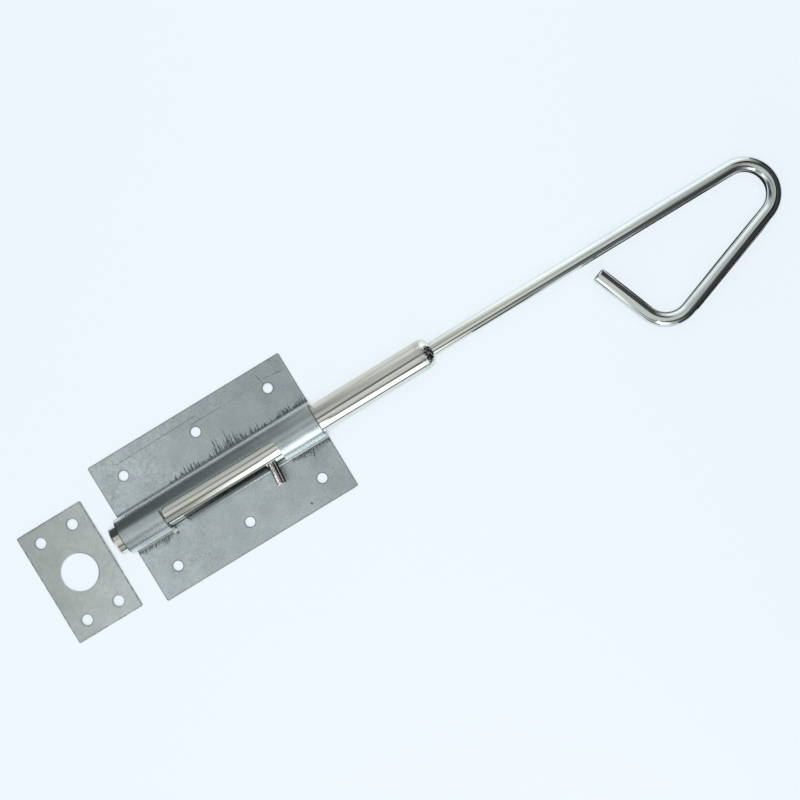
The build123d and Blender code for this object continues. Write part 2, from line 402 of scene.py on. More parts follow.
def teeth(tree, lean, away, width, heights, shift):
    """Row of thin spikes of uneven length that stand on a bend, one in each step of the given width."""
    step = calc(tree, "ADD", calc(tree, "DIVIDE", lean, width), shift)
    chance = add(tree, "ShaderNodeTexWhiteNoise", {"W": calc(tree, "FLOOR", step)}, noise_dimensions="1D")
    length = product(tree, calc(tree, "POWER", chance.outputs["Value"], 0.9), heights)
    length = highest(tree, length, 0.01 * MM)
    side = calc(tree, "ABSOLUTE", minus(tree, calc(tree, "FRACT", step), 0.5))
    spread = calc(tree, "ADD", product(tree, side, 2.9), calc(tree, "DIVIDE", away, length))
    return remap(tree, spread, 1.1, 0.8)


def comb(tree, place, x, away, slant, smear, heights):
    """Dark spikes and smudges that run out over the sheet from a bend, as the folding tool left them."""
    lean = minus(tree, x, product(tree, away, slant))
    lean = calc(tree, "ADD", lean, product(tree, mottle(tree, place, 500, 2.0), 1.6 * MM))
    tall = ramp(tree, x, heights)
    wide = teeth(tree, lean, away, WIDE_TOOTH, product(tree, tall, 1.35), 0.0)
    spikes = highest(tree, wide, teeth(tree, lean, away, THIN_TOOTH, tall, 0.37))
    blotch = remap(tree, mottle(tree, place, 1100, 3.0, 0.6), 0.30, 0.48, 0.1, 1.0)
    smudge = remap(tree, calc(tree, "DIVIDE", away, calc(tree, "ADD", tall, 0.1 * MM)), smear, 0.05)
    cover = remap(tree, mottle(tree, place, 800, 3.0), 0.71 - smear / 2, 0.62, 0.0, 0.85)
    dark = highest(tree, product(tree, spikes, blotch), product(tree, smudge, cover))
    return product(tree, dark, remap(tree, away, -0.4 * MM, 0.1 * MM), remap(tree, tall, 0.2 * MM, 1.2 * MM))


def near_rim(tree, x, y, half_length, half_width, thin):
    """1 within a thin margin of a rectangle's edge, whose middle is at the origin."""
    to_end = minus(tree, half_length, calc(tree, "ABSOLUTE", x))
    to_side = minus(tree, half_width, calc(tree, "ABSOLUTE", y))
    return remap(tree, calc(tree, "MINIMUM", to_end, to_side), thin, 0.2 * thin)


def spot(tree, x, y, centre, radius, soft):
    """1 within a radius of a point."""
    aside = minus(tree, x, centre[0])
    across = minus(tree, y, centre[1])
    apart = add(tree, "ShaderNodeVectorMath", {0: vector(tree, aside, across, 0.0)}, operation="LENGTH")
    return remap(tree, apart.outputs["Value"], radius + soft, radius)


def near_holes(tree, x, y):
    """1 on a thin ring round each of the plate's screw holes."""
    aside = calc(tree, "ABSOLUTE", x)
    aside = calc(tree, "MINIMUM", aside, calc(tree, "ABSOLUTE", minus(tree, aside, HOLE_X)))
    across = minus(tree, calc(tree, "ABSOLUTE", y), HOLE_Y)
    return spot(tree, aside, across, (0.0, 0.0), HOLE_RADIUS + 0.25 * MM, 0.45 * MM)


def scribe(tree, x, y, start, end, height, slope):
    """Thin worn line along the flange, from start to end."""
    wander = product(tree, strokes(tree, x, 40), 0.5 * MM)
    off = minus(tree, y, product(tree, minus(tree, x, start), slope))
    off = minus(tree, minus(tree, off, wander), height)
    line = band(tree, off, -0.34 * MM, -0.1 * MM, 0.1 * MM, 0.34 * MM)
    worn = remap(tree, strokes(tree, x, 260, 3.0), 0.30, 0.55, 0.25, 1.0)
    return product(tree, line, worn, band(tree, x, start - 3 * MM, start, end, end + 3 * MM))


# Finishes

def sheet_base(tree, place, x, y, grain, flat):
    """Grey of the tunnel and paler grey of the flanges, painted shade and light on one sheet, nicked along
    the upper strip and the lower end.
    """
    above = remap(tree, y, -2 * MM, 2 * MM)
    # Painted light and shade: how pale each flange is changes along X
    pale = lerp(tree, above, ramp(tree, x, LOWER_PALE), ramp(tree, x, UPPER_PALE))
    scuffed = highest(tree, remap(tree, y, 30 * MM, 32 * MM), remap(tree, x, -12 * MM, -24 * MM))
    contrast = product(tree, remap(tree, scuffed, 0.0, 1.0, 1.0, 2.2), remap(tree, y, 0.0, 12 * MM, 0.8, 1.0))
    # Painted shade: the tunnel's crown takes a darker copy of the sheet's grey
    crown = sheet_colour(tree, grain, SHADED_CROWN_SHADES, 0.5)
    flange = sheet_colour(tree, grain, FLANGE_SHADES, contrast)
    colour = blend(tree, product(tree, flat, pale), crown, flange)
    nicks = product(tree, remap(tree, mottle(tree, place, 1000, 4.0, 0.7), 0.52, 0.66), scuffed, flat)
    nicks = product(tree, nicks, remap(tree, mottle(tree, place, 90, 2.0), 0.38, 0.60, 0.1, 0.5))
    return blend(tree, nicks, colour, NICK_COLOUR)


def flange_marks(tree, place, x, y, flat, colour):
    """Scuffed bends, scribed lines, dents, painted shade at creases and rims, and a painted highlight on a
    burr.
    """
    upper = comb(tree, place, x, minus(tree, y, CREASE), UPPER_SLANT, UPPER_SMEAR, UPPER_SCUFFS)
    lower = comb(tree, place, x, minus(tree, -CREASE, y), LOWER_SLANT, LOWER_SMEAR, LOWER_SCUFFS)
    colour = blend(tree, product(tree, highest(tree, upper, lower), flat, 0.85), colour, SCUFF_COLOUR)

    # Painted shade in the upper bend's crease, along the sheet's rims and round its screw holes; the scribed
    # lines and dents are marks
    bend = band(tree, y, CREASE - 0.3 * MM, CREASE, CREASE + 0.3 * MM, CREASE + 0.7 * MM)
    lines = [
        product(tree, bend, flat, 0.6),
        product(tree, near_rim(tree, x, y, plate_high.x, plate_high.y, 0.7 * MM), 0.6),
        product(tree, near_holes(tree, x, y), 0.6),
    ]
    lines += [product(tree, scribe(tree, x, y, *line), dark) for *line, dark in SCRIBED_LINES]
    lines += [product(tree, spot(tree, x, y, *dent), dark) for *dent, dark in DENTS]
    *cross_line, dark = CROSS_LINE
    lines.append(product(tree, scribe(tree, y, x, *cross_line), dark))
    colour = blend(tree, product(tree, highest(tree, *lines), flat), colour, LINE_AND_SHADE_COLOUR)
    # Painted highlight: a bright spot where a burr catches the light
    return blend(tree, product(tree, spot(tree, x, y, *BURR_HIGHLIGHT), flat), colour, BURR_HIGHLIGHT_COLOUR)


def tunnel_rim_shade(tree, x, y, raised):
    """Painted shade: 1 on the rims of the tunnel's ends and of the window's lower end."""
    end = remap(tree, calc(tree, "ABSOLUTE", x), plate_high.x - 0.75 * MM, plate_high.x - 0.2 * MM)
    notch = band(
        tree, x, WINDOW_END - 0.6 * MM, WINDOW_END - 0.3 * MM, WINDOW_END + 0.2 * MM, WINDOW_END + 0.5 * MM,
    )
    notch = product(tree, notch, remap(tree, y, 2.4 * MM, 1.6 * MM))
    return product(tree, raised, highest(tree, product(tree, end, 0.75), product(tree, notch, 0.9)))


def galvanised_sheet():
    """Blue-grey galvanised sheet, mottled, with scuffed bends and scribed lines, painted shade and painted
    light.
    """
    made, tree = new_material("galvanised_sheet")
    place, x, y, z = place_of(tree)
    grain = sheet_grain(tree, place)
    flat = remap(tree, z, TUNNEL_ABOVE, FLANGE_BELOW)
    raised = remap(tree, z, FLANGE_BELOW, TUNNEL_ABOVE)
    colour = sheet_base(tree, place, x, y, grain, flat)
    colour = flange_marks(tree, place, x, y, flat, colour)
    # Painted shade at the tunnel's end rims and at the window's lower end
    colour = blend(tree, tunnel_rim_shade(tree, x, y, raised), colour, RIM_SHADE_COLOUR)

    from_lip = remap(tree, x, LIP_ENDS[0] - 1 * MM, LIP_ENDS[0])
    over_lip = product(tree, from_lip, remap(tree, x, LIP_ENDS[1] + 1 * MM, LIP_ENDS[1]))
    # Painted shade on the lip's top, under the bar
    lip = product(
        tree,
        over_lip,
        band(tree, z, 5.0 * MM, 6.0 * MM, 8.0 * MM, 8.4 * MM),
        band(tree, y, -9.6 * MM, -9.3 * MM, -8.0 * MM, -7.5 * MM),
    )
    colour = blend(tree, product(tree, lip, 0.75), colour, LIP_SHADE_COLOUR)
    # Painted shade: a dark line in the crease at the lip's foot
    foot = product(tree, from_lip, band(tree, y, -11.6 * MM, -11.0 * MM, -9.9 * MM, -9.5 * MM))
    colour = blend(tree, product(tree, foot, 0.4), colour, FOOT_SHADE_COLOUR)

    # Painted light: the tunnel's sides are pale and less metallic so that they look lit
    clear_of_lip = minus(tree, 1.0, product(tree, over_lip, remap(tree, y, 0.0, -2 * MM)))
    side = remap(tree, calc(tree, "ABSOLUTE", y), 8.0 * MM, 9.5 * MM)
    side = product(tree, side, raised, clear_of_lip, 0.8)
    colour = blend(tree, side, colour, SIDE_LIGHT_COLOUR)
    roughness = remap(tree, grain[2], 0.3, 0.7, 0.25, 0.33)
    finish_metal(tree, colour, roughness, grain[2], 0.005 * MM, minus(tree, 1.0, side))
    return made


def keeper_sheet():
    """Matt grey zinc sheet, with painted shade at its cut edges, bore and screw holes, and a painted gradient
    of light.
    """
    made, tree = new_material("keeper_sheet")
    place, x, y, z = place_of(tree)
    grain = sheet_grain(tree, place)
    colour = sheet_colour(tree, grain, KEEPER_SHADES)
    # Painted shade and light: darker towards -X and lighter towards -Y
    shade = remap(tree, x, -0.106, -0.073, 0.88, 1.05)
    shade = product(tree, shade, remap(tree, y, -0.012, -0.022, 1.0, 1.06))
    colour = shaded(tree, colour, shade)

    middle = (keeper_low + keeper_high) / 2
    half = (keeper_high - keeper_low) / 2
    aside = minus(tree, x, middle.x)
    across = minus(tree, y, middle.y)
    on_top = remap(tree, z, keeper_high.z - 0.5 * MM, keeper_high.z - 0.2 * MM)
    ragged = lerp(tree, on_top, 0.55, remap(tree, mottle(tree, place, 500, 3.0), 0.35, 0.6, 0.25, 1.0))
    # Painted shade along the cut edges, on the bore's rim towards +X and round the screw holes
    edge_shade = product(tree, near_rim(tree, aside, across, half.x, half.y, 0.9 * MM), ragged, 0.75)
    bore_shade = spot(tree, aside, across, (0.0, 0.0), KEEPER_BORE + 0.3 * MM, 0.3 * MM)
    bore_shade = product(tree, bore_shade, remap(tree, aside, 2 * MM, 7 * MM), 0.7)
    hole_x = minus(tree, calc(tree, "ABSOLUTE", aside), KEEPER_HOLE_X)
    hole_y = minus(tree, calc(tree, "ABSOLUTE", across), KEEPER_HOLE_Y)
    holes = spot(tree, hole_x, hole_y, (0.0, 0.0), KEEPER_HOLE_RADIUS + 0.2 * MM, 0.4 * MM)
    dark = highest(tree, edge_shade, bore_shade, product(tree, holes, 0.5))
    colour = blend(tree, dark, colour, KEEPER_RIM_SHADE_COLOUR)
    roughness = remap(tree, grain[2], 0.3, 0.7, 0.30, 0.40)
    finish_metal(tree, colour, roughness, grain[2], 0.005 * MM)
    return made


def drawn_lines(tree, along, around, fine):
    """Streaks of drawn and plated metal: long along the piece, thin round it."""
    streak_place = vector(tree, product(tree, along, 0.02), around, 0.0)
    broad = mottle(tree, streak_place, fine * 0.25, 2.0)
    thin = mottle(tree, streak_place, fine, 3.0, 0.6)
    return broad, thin


def zinc_colour(tree, broad, thin):
    """Bright zinc with faint streaks."""
    colour = blend(tree, remap(tree, broad, 0.3, 0.7), *ZINC_SHADES)
    return blend(tree, remap(tree, thin, 0.32, 0.46, 0.45, 0.0), colour, ZINC_STREAK_COLOUR)


def bar_zinc():
    """Bright zinc of the bar, with painted shade speckled inside the window, dulled beside the weld, sawn at
    its end.
    """
    made, tree = new_material("bar_zinc")
    place, x, y, z = place_of(tree)
    angle = calc(tree, "ARCTAN2", product(tree, y, -1.0), minus(tree, z, AXIS_HEIGHT))
    broad, thin = drawn_lines(tree, x, product(tree, angle, BAR_RADIUS), 2600)
    colour = zinc_colour(tree, broad, thin)
    # Painted shade: dark speckles inside the window, on the upper side towards -Y
    speckled_shade = product(
        tree,
        band(tree, x, -40 * MM, -31 * MM, -24 * MM, -8 * MM),
        band(tree, angle, 0.15, 0.5, 0.7, 1.1),
        remap(tree, mottle(tree, place, 3000, 2.0), 0.40, 0.65, 0.0, 0.35),
    )
    colour = blend(tree, speckled_shade, colour, SPECKLED_SHADE_COLOUR)

    sawn = remap(tree, x, bar_low.x + 0.15 * MM, bar_low.x + 0.05 * MM)
    cuts = mottle(tree, vector(tree, 0.0, product(tree, y, 0.15), z), 2500, 3.0)
    colour = blend(tree, sawn, colour, blend(tree, remap(tree, cuts, 0.3, 0.7), *SAWN_SHADES))
    heated = remap(tree, x, bar_high.x - 6 * MM, bar_high.x - 0.5 * MM)
    lumps = mottle(tree, place, 900, 3.0, 0.6)
    dull = product(tree, heated, remap(tree, lumps, 0.40, 0.62))
    colour = blend(tree, product(tree, dull, 0.35), colour, HEATED_COLOUR)
    drawn = remap(tree, thin, 0.3, 0.7, 0.04, 0.08)
    roughness = highest(tree, calc(tree, "ADD", drawn, product(tree, dull, 0.22)), product(tree, sawn, 0.35))
    finish_metal(tree, colour, roughness, lerp(tree, heated, thin, product(tree, lumps, 6.0)), 0.0006 * MM)
    return made


def rod_zinc():
    """Bright zinc of the rod, cooler towards the handle, with its lines following the bends."""
    made, tree = new_material("rod_zinc")
    place, x, y, z = place_of(tree)
    broad, thin = drawn_lines(tree, noted(tree, "along"), noted(tree, "around"), 3000)
    cooler = remap(tree, x, 0.13, 0.27)
    colour = blend(tree, cooler, zinc_colour(tree, broad, thin), ROD_TINT, "MULTIPLY")
    finish_metal(tree, colour, remap(tree, thin, 0.3, 0.7, 0.05, 0.10), thin, 0.001 * MM)
    return made


def dark_steel():
    """Dark drawn steel of the stop pin, with long streaks, a dark line, painted edge shade and painted
    highlights.
    """
    made, tree = new_material("dark_steel")
    place, x, y, z = place_of(tree)
    lean = minus(tree, x, product(tree, y, math.tan(PIN_LEAN)))
    lengthwise = vector(tree, lean, product(tree, y, 0.05), z)
    broad = mottle(tree, lengthwise, 700, 2.0)
    thin = mottle(tree, lengthwise, 2500, 2.0)
    colour = blend(tree, remap(tree, broad, 0.35, 0.65), *PIN_SHADES)
    colour = blend(tree, remap(tree, thin, 0.4, 0.6, 0.6, 0.0), colour, PIN_STREAK_COLOUR)

    aside = minus(tree, lean, PIN_MIDDLE)
    # A dark line along the pin, and painted shade along both its edges as seen from above
    dark_line = band(tree, aside, 0.2 * MM, 0.45 * MM, 1.0 * MM, 1.2 * MM)
    upper_edge = remap(tree, aside, 1.6 * MM, 1.9 * MM)
    lower_edge = remap(tree, aside, -1.8 * MM, -2.2 * MM)
    shade = product(tree, highest(tree, dark_line, upper_edge, lower_edge), 0.95)
    colour = blend(tree, shade, colour, PIN_DARK_LINE_AND_SHADE_COLOUR)

    # Painted highlights: a broken bright streak, a thin bright line and a bright tip, less metallic so they
    # stay white
    broken = remap(tree, mottle(tree, place, 900, 3.0), 0.36, 0.56)
    highlight_streak = band(tree, aside, -1.8 * MM, -1.5 * MM, -0.8 * MM, -0.4 * MM)
    line = band(tree, aside, 1.2 * MM, 1.35 * MM, 1.5 * MM, 1.65 * MM)
    tip = remap(tree, y, pin_low.y + 1.4 * MM, pin_low.y + 0.3 * MM)
    tip = product(tree, tip, remap(tree, aside, 0.8 * MM, 0.2 * MM))
    painted_highlight = highest(tree, product(tree, highlight_streak, broken), product(tree, line, 0.5), product(tree, tip, broken))
    colour = blend(tree, painted_highlight, colour, PIN_HIGHLIGHT_COLOUR)
    metallic = minus(tree, 1.0, product(tree, painted_highlight, 0.9))
    finish_metal(tree, colour, remap(tree, thin, 0.3, 0.7, 0.2, 0.35), thin, 0.01 * MM, metallic)
    return made


def weld_metal():
    """Plated weld: bright shoulder with a rough dark tack on its upper side, with painted glints in the tack.
    """
    made, tree = new_material("weld_metal")
    place, x, y, z = place_of(tree)
    lumps = mottle(tree, place, 700, 4.0, 0.6)
    ragged = product(tree, minus(tree, lumps, 0.5), 2.2)
    dark = remap(tree, calc(tree, "ADD", noted(tree, "tack"), ragged), 0.45, 0.62)
    # Painted highlights: bright glints scattered in the dark tack
    glints = remap(tree, mottle(tree, place, 1500, 2.0), 0.58, 0.64)
    colour = blend(tree, remap(tree, lumps, 0.3, 0.7), *WELD_SHADES)
    colour = blend(tree, product(tree, dark, 0.97), colour, TACK_COLOUR)
    colour = blend(tree, product(tree, dark, glints), colour, TACK_GLINT_COLOUR)
    finish_metal(tree, colour, remap(tree, dark, 0.0, 1.0, 0.12, 0.35), lumps, 0.05 * MM)
    return made


# Pieces

def put_in_scene(name, mesh, material):
    """Object with one material, at the origin."""
    made = bpy.data.objects.new(name, mesh)
    mesh.materials.clear()
    mesh.materials.append(material)
    bpy.context.scene.collection.objects.link(made)
    return made


def smooth_faces(mesh, sharp_above):
    """Smooth shading, with edges kept sharp above an angle in degrees."""
    mesh.polygons.foreach_set("use_smooth", [True] * len(mesh.polygons))
    mesh.set_sharp_from_angle(angle=math.radians(sharp_above))


def plain_copy(obj):
    """Mesh of an object with its modifiers applied."""
    seen = obj.evaluated_get(bpy.context.evaluated_depsgraph_get())
    return bpy.data.meshes.new_from_object(seen)


def ease_edges(made, width, segments, above, harden):
    """Rounds the edges of a piece that are sharper than an angle in degrees."""
    bevel = made.modifiers.new("ease", "BEVEL")
    bevel.width = width
    bevel.segments = segments
    bevel.limit_method = "ANGLE"
    bevel.angle_limit = math.radians(above)
    bevel.harden_normals = harden
    made.data = plain_copy(made)
    made.modifiers.clear()


def eased_copy(node, name, material, ease):
    """Copy of a CAD sheet with its edges eased, as a shear and a punch leave them."""
    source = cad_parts[node].data
    mesh = bpy.data.meshes.new(name)
    corners = [tuple(v.co) for v in source.vertices]
    mesh.from_pydata(corners, [], [tuple(p.vertices) for p in source.polygons])
    work = bmesh.new()
    work.from_mesh(mesh)
    bmesh.ops.remove_doubles(work, verts=work.verts, dist=0.0005 * MM)
    bmesh.ops.dissolve_limit(work, angle_limit=math.radians(0.5), verts=work.verts, edges=work.edges)
    work.to_mesh(mesh)
    work.free()
    smooth_faces(mesh, 30)
    made = put_in_scene(name, mesh, material)
    ease_edges(made, ease, segments=3, above=40, harden=True)
    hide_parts(node)
    return made


def arc_points(start, heading, radius, turn, count):
    """Points of a bend to the right from a start point and heading, and its last heading."""
    centre = start + radius * Vector((math.sin(heading), -math.cos(heading)))
    points = []
    for step in range(1, count + 1):
        way = heading - turn * step / count
        points.append(centre + radius * Vector((-math.sin(way), math.cos(way))))
    return points, heading - turn


def handle_line():
    """Points along the rod's centre line, from its seat in the bar to its free end."""
    bend_start = rod_high.x - ROD_RADIUS - HANDLE_BEND
    points = [Vector((rod_low.x, 0)), Vector((bend_start, 0))]
    tip, heading = arc_points(points[-1], 0.0, HANDLE_BEND, TIP_TURN, TIP_STEPS)
    points += tip
    points.append(points[-1] + RETURN_LEG * Vector((math.cos(heading), math.sin(heading))))
    corner, heading = arc_points(points[-1], heading, HANDLE_BEND, CORNER_TURN, CORNER_STEPS)
    points += corner
    way = Vector((math.cos(heading), math.sin(heading)))
    end_y = -ROD_RADIUS - HANDLE_MOUTH - ROD_RADIUS * abs(way.x)
    points.append(points[-1] + way * ((end_y - points[-1].y) / way.y))
    return [Vector((p.x, p.y, AXIS_HEIGHT)) for p in points]


def sweep_tree():
    """Node tree that sweeps a round section along a line and notes how far along and round each point is."""
    tree = bpy.data.node_groups.new("rod_sweep", "GeometryNodeTree")
    sockets = tree.interface
    sockets.new_socket("Line", in_out="INPUT", socket_type="NodeSocketGeometry")
    radius = sockets.new_socket("Radius", in_out="INPUT", socket_type="NodeSocketFloat")
    material = sockets.new_socket("Material", in_out="INPUT", socket_type="NodeSocketMaterial")
    sockets.new_socket("Mesh", in_out="OUTPUT", socket_type="NodeSocketGeometry")
    given = add(tree, "NodeGroupInput").outputs

    spline = add(tree, "GeometryNodeSplineParameter").outputs
    line = add(tree, "GeometryNodeStoreNamedAttribute", {
        "Geometry": given["Line"], "Name": "along", "Value": spline["Length"],
    }).outputs[0]
    circle = add(tree, "GeometryNodeCurvePrimitiveCircle", {
        "Resolution": ROD_STEPS, "Radius": given["Radius"],
    })
    round_spline = add(tree, "GeometryNodeSplineParameter").outputs
    section = add(tree, "GeometryNodeStoreNamedAttribute", {
        "Geometry": circle.outputs["Curve"], "Name": "around", "Value": round_spline["Length"],
    }).outputs[0]
    swept = add(tree, "GeometryNodeCurveToMesh", {
        "Curve": line, "Profile Curve": section, "Fill Caps": True,
    }).outputs[0]
    whole = add(tree, "GeometryNodeRealizeInstances", {"Geometry": swept}).outputs[0]
    painted = add(tree, "GeometryNodeSetMaterial", {"Geometry": whole, "Material": given["Material"]})
    add(tree, "NodeGroupOutput", {0: painted.outputs[0]})
    return tree, radius.identifier, material.identifier


def handle_rod(material):
    """Round rod swept along the handle's line, with its ends chamfered."""
    line = bpy.data.curves.new("handle_line", "CURVE")
    line.dimensions = "3D"
    spline = line.splines.new("POLY")
    points = handle_line()
    spline.points.add(len(points) - 1)
    for point, place in zip(spline.points, points):
        point.co = (*place, 1.0)
    guide = bpy.data.objects.new("handle_line", line)
    bpy.context.scene.collection.objects.link(guide)
    tree, radius_key, material_key = sweep_tree()
    sweep = guide.modifiers.new("sweep", "NODES")
    sweep.node_group = tree
    sweep[radius_key] = ROD_RADIUS
    sweep[material_key] = material
    mesh = plain_copy(guide)
    bpy.data.objects.remove(guide)
    mesh.name = "handle_rod_look"
    smooth_faces(mesh, 40)
    made = put_in_scene("handle_rod_look", mesh, material)
    ease_edges(made, ROD_CHAMFER, segments=2, above=60, harden=False)
    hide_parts("handle_rod")
    return made


def ring_faces(rings, steps):
    """Faces between rings of points, each ring one step further along."""
    faces = []
    for ring in range(rings - 1):
        a, b = ring * steps, (ring + 1) * steps
        for step in range(steps):
            after = (step + 1) % steps
            faces.append((a + step, a + after, b + after, b + step))
    return faces


def turned_piece(name, node, material, start, way, profile, steps):
    """Round piece turned about a line from a start point. profile is a list of (distance along, radius)."""
    across = way.cross(Vector((0, 0, 1))).normalized()
    upward = across.cross(way)
    verts = []
    for along, radius in profile:
        for step in range(steps):
            angle = 2 * math.pi * step / steps
            out = across * math.sin(angle) + upward * math.cos(angle)
            verts.append(start + way * along + out * radius)
    faces = ring_faces(len(profile), steps)
    last = (len(profile) - 1) * steps
    faces.append(tuple(range(steps - 1, -1, -1)))
    faces.append(tuple(range(last, last + steps)))
    mesh = bpy.data.meshes.new(name)
    mesh.from_pydata(verts, [], faces)
    smooth_faces(mesh, 50)
    made = put_in_scene(name, mesh, material)
    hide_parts(node)
    return made


def eased_end(radius, ease):
    """Quarter round from a flat end to a radius, as (distance along, radius)."""
    turns = [math.pi / 2 * step / EASE_STEPS for step in range(EASE_STEPS + 1)]
    return [(ease * (1 - math.cos(turn)), radius - ease + ease * math.sin(turn)) for turn in turns]


def bolt_bar(material):
    """Round bar with its lower end eased."""
    length = bar_high.x - bar_low.x
    rings = [(length * step / BAR_RINGS, BAR_RADIUS) for step in range(1, BAR_RINGS + 1)]
    start = Vector((bar_low.x, 0, AXIS_HEIGHT))
    profile = eased_end(BAR_RADIUS, BAR_EASE) + rings
    return turned_piece("bolt_bar_look", "bolt_bar", material, start, Vector((1, 0, 0)), profile, BAR_STEPS)


def stop_pin(material):
    """Short round pin that leans out of the bar, with its free end eased."""
    way = Vector((math.sin(PIN_LEAN), math.cos(PIN_LEAN), 0))
    tip_y = pin_low.y + PIN_RADIUS * math.sin(PIN_LEAN)
    start = Vector((PIN_MIDDLE + tip_y * math.tan(PIN_LEAN), tip_y, AXIS_HEIGHT))
    length = (pin_high.y - pin_low.y) / math.cos(PIN_LEAN) - 2 * PIN_RADIUS * math.tan(PIN_LEAN)
    profile = eased_end(PIN_RADIUS, PIN_EASE) + [(length, PIN_RADIUS)]
    return turned_piece("stop_pin_look", "stop_pin", material, start, way, profile, PIN_STEPS)


def tack_share(angle, lift):
    """How much tack lies at a turn round the weld and a lift from bar to rod. It thins towards rod and -Y."""
    turned = math.atan2(math.sin(angle - TACK_MIDDLE), math.cos(angle - TACK_MIDDLE))
    share = math.exp(-((turned / TACK_HALF) ** 4)) * max(0.0, math.sin(2 * lift)) ** 0.4
    return share * min(1.0, max(0.0, 2.2 - 1.1 * lift - 1.5 * turned))


def weld_ring(material):
    """Ring of weld from the bar's edge to the rod, lumpy where the tack lies on its upper side."""
    length = weld_high.x - weld_low.x
    verts, tacks = [], []
    for ring in range(WELD_RINGS + 1):
        lift = math.pi / 2 * ring / WELD_RINGS
        for step in range(WELD_STEPS):
            angle = 2 * math.pi * step / WELD_STEPS
            radius = ROD_RADIUS + (BAR_RADIUS - ROD_RADIUS) * math.cos(lift)
            x = weld_low.x + length * math.sin(lift)
            across = Vector((0, -math.sin(angle), math.cos(angle)))
            tack = tack_share(angle, lift)
            rough = noise.fractal((Vector((x, 0, 0)) + across * radius) / TACK_LUMP, 1.0, 2.0, 3)
            swell = tack * math.sin(2 * lift)
            radius += swell * (TACK_RISE + TACK_ROUGH * rough)
            x += swell * TACK_DRIFT * rough
            verts.append(Vector((x, 0, AXIS_HEIGHT)) + across * radius)
            tacks.append(tack)
    faces = [(a, d, c, b) for a, b, c, d in ring_faces(WELD_RINGS + 1, WELD_STEPS)]
    mesh = bpy.data.meshes.new("weld_look")
    mesh.from_pydata(verts, [], faces)
    share = mesh.attributes.new("tack", "FLOAT", "POINT")
    share.data.foreach_set("value", tacks)
    smooth_faces(mesh, 60)
    made = put_in_scene("weld_look", mesh, material)
    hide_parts("handle_weld")
    return made


# Studio

def south_glow(tree, x, y, z):
    """Soft box beside the plate, dark towards the handle, with a dark gap above it that grows."""
    box = product(tree, ramp(tree, x, SOUTH_BOX), remap(tree, z, 0.01, 0.08, 0.55, 1.0))
    top = ramp(tree, x, SOUTH_BOX_TOP)
    over = minus(tree, minus(tree, z, top), ramp(tree, x, SOUTH_GAP))
    above = product(tree, ramp(tree, over, SOUTH_ABOVE_GAP), remap(tree, x, 0.20, 0.45, 1.0, 0.6))
    inside = minus(tree, top, z)
    return NEUTRAL, lerp(tree, remap(tree, inside, 0.0, 0.025), above, box)


def north_glow(tree, x, y, z):
    """Wall above the plate: dark beyond the plate's lower end, bright towards the handle."""
    wall = lerp(tree, remap(tree, z, 0.08, 0.38), ramp(tree, x, NORTH_LOW), ramp(tree, x, NORTH_MIDDLE))
    wall = lerp(tree, remap(tree, z, 0.52, 0.70), wall, NORTH_TOP)
    return blend(tree, remap(tree, z, 0.0, 0.12), BACKDROP, NEUTRAL), wall


def east_glow(tree, x, y, z):
    """Dark wall beyond the handle."""
    return NEUTRAL, calc(tree, "ADD", ramp(tree, y, EAST_WALL), remap(tree, z, 0.62, 0.75, 0.0, 0.2))


def west_glow(tree, x, y, z):
    """Wall beyond the bar's lower end: bright to the south, dark to the north."""
    return NEUTRAL, ramp(tree, y, WEST_WALL)


def ceiling_glow(tree, x, y, z):
    """Overhead card, a little brighter to the south, with the camera's boom as a dark slanting line."""
    along = minus(tree, highest(tree, x, BOOM_BEND), BOOM_MIDDLE[0])
    aside = minus(tree, minus(tree, y, BOOM_MIDDLE[1]), product(tree, along, BOOM_SLOPE))
    boom = product(
        tree,
        band(tree, aside, -0.10, -0.08, 0.08, 0.10),
        remap(tree, x, 0.30, 0.09),
        remap(tree, x, -0.10, 0.06, 0.5, 0.72),
        remap(tree, x, -0.195, -0.16),
    )
    beyond = remap(tree, x, 0.50, 0.58, 1.0, 0.06)
    corner = product(tree, remap(tree, x, 0.38, 0.46), remap(tree, y, -0.01, -0.06), 0.6)
    lit = product(tree, minus(tree, 1.0, boom), minus(tree, 1.0, corner), beyond)
    return NEUTRAL, product(tree, ramp(tree, y, CEILING_FALL), lit)


def north_flag_glow(tree, x, y, z):
    """Dark flag behind the plate."""
    return NEUTRAL, ramp(tree, x, NORTH_FLAG_GLOW)


def lip_flag_glow(tree, x, y, z):
    """Flag above the lip, black except towards the bar's lower end and its own top."""
    dark = remap(tree, x, -26 * MM, -2 * MM, 0.14, 0.012)
    return BACKDROP, calc(tree, "ADD", dark, remap(tree, z, 12.4 * MM, 15.6 * MM, 0.0, 0.45))


def bar_flag_glow(tree, x, y, z):
    """Grey flag beside the bar, lighter towards the floor."""
    return NEUTRAL, remap(tree, z, 0.0, BAR_FLAG_HEIGHT, 0.80, 0.62)


def rod_light_glow(tree, x, y, z):
    """Bright card on the floor above the rod, duller close to it."""
    far = remap(tree, y, 0.018, 0.035, 0.80, 1.0)
    return BACKDROP, product(tree, remap(tree, x, 0.13, 0.18, 1.1, 1.3), far)


def shank_shade_glow(tree, x, y, z):
    """Shade on the floor beside the rod, that fades out across the handle."""
    return BACKDROP, remap(tree, y, -0.028, -0.042, 0.03, 0.9)


def shank_flag_glow(tree, x, y, z):
    """Dark flag beside the rod that fades out towards the handle."""
    return BACKDROP, remap(tree, x, 0.180, 0.205, 0.03, 0.95)


def dark_glow(tree, x, y, z):
    """Black flag."""
    return BACKDROP, 0.03


